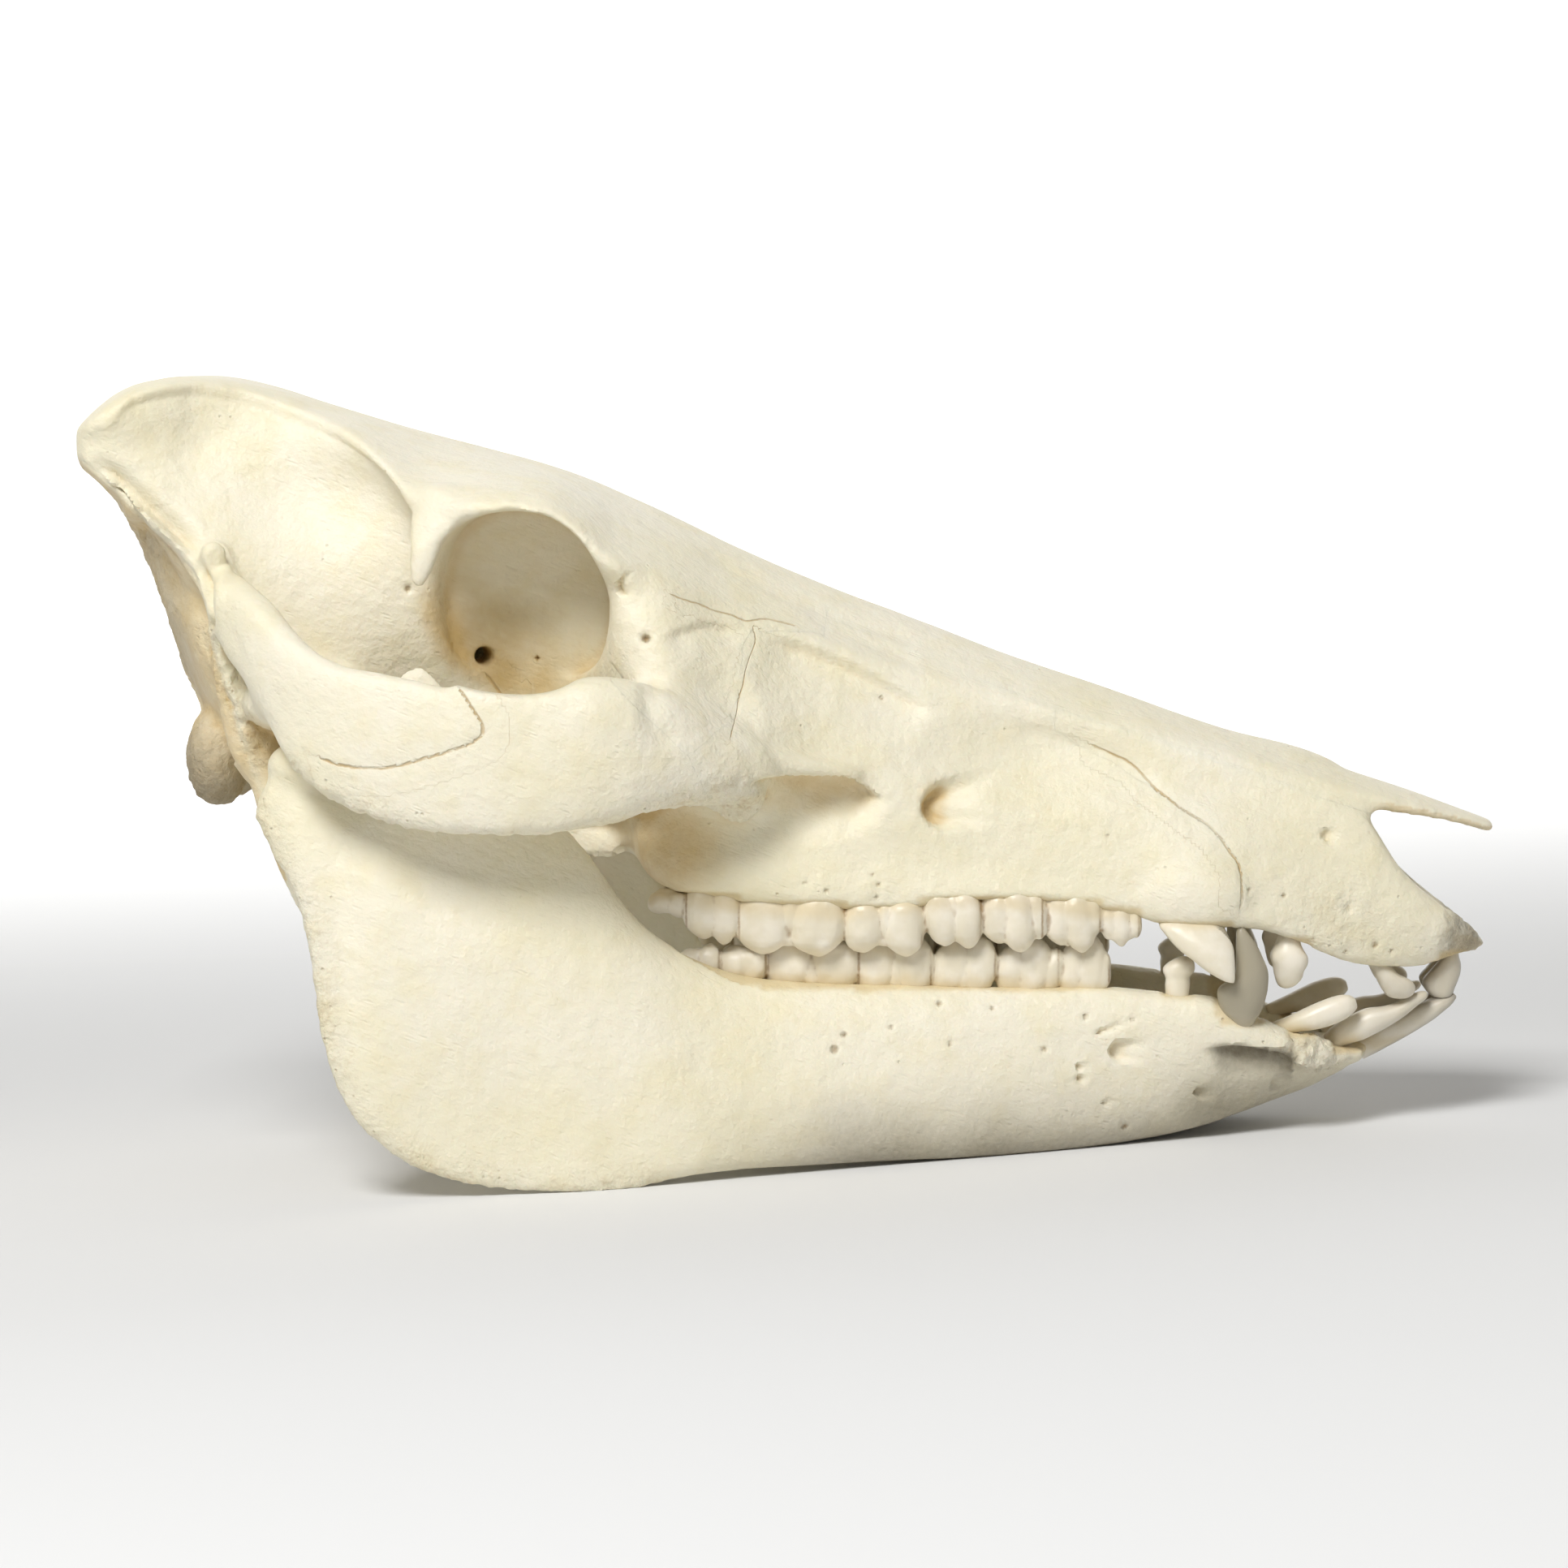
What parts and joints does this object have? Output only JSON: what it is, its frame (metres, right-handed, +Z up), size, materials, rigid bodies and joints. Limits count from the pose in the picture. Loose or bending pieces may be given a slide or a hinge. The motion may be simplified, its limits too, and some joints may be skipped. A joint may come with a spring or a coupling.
{
  "type": "pig skull",
  "caption": "Life-size skull of a young pig with its lower jaw closed, lying on the jaw, with cheek teeth, small tusks and front teeth.",
  "frame": {"origin": "middle of the footprint of the whole skull, on the floor that it lies on", "axes": "+X along the snout, +Y to the animal's left, +Z up"},
  "size_m": [0.2928, 0.1327, 0.1701],
  "materials": {
    "bone": "matte",
    "enamel": "satin"
  },
  "bodies": {
    "root": {"braincase": "bone", "occipital": "bone", "frontal_left": "bone", "frontal_right": "bone", "temporal_left": "bone", "temporal_right": "bone", "lacrimal_left": "bone", "lacrimal_right": "bone", "zygomatic_left": "bone", "zygomatic_right": "bone", "maxilla_left": "bone", "maxilla_right": "bone", "nasal_left": "bone", "nasal_right": "bone", "premaxilla_left": "bone", "premaxilla_right": "bone", "mandible": "bone"}
  },
  "joints": []
}
